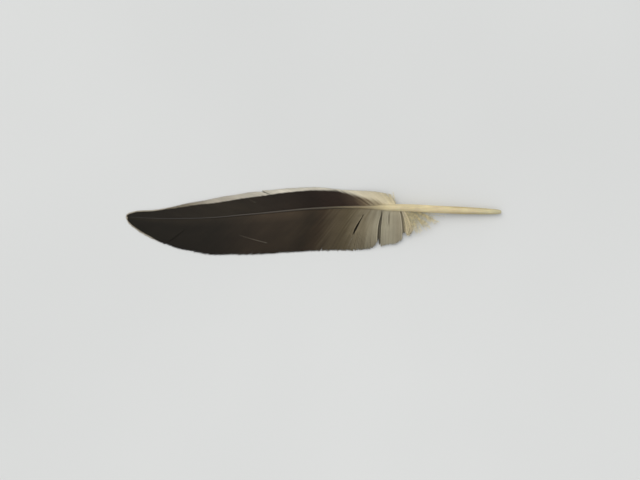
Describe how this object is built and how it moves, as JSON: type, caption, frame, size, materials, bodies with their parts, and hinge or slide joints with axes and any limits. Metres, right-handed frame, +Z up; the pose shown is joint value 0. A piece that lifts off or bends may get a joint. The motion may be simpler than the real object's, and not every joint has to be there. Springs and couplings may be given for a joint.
{
  "type": "feather",
  "caption": "Goose wing feather lying upper side up: bare tapered quill, arched shaft, narrow outer vane and broad inner vane that has split near its base.",
  "frame": {"origin": "bottom centre of the feather's box, on the surface it lies on", "axes": "+X along the shaft from the tip to the bare quill, +Y towards the narrow outer vane, +Z up out of the feather's upper side"},
  "size_m": [0.24, 0.0434, 0.0078],
  "materials": {
    "vane": "dark grey-brown barbs with a soft silky sheen, fading to taupe at the base, pale margin on the outer vane",
    "shaft": "smooth cream horn, satin, slightly see-through at the quill's end",
    "down": "loose pale downy barbs"
  },
  "bodies": {
    "root": {"feather": "vane"}
  },
  "joints": []
}
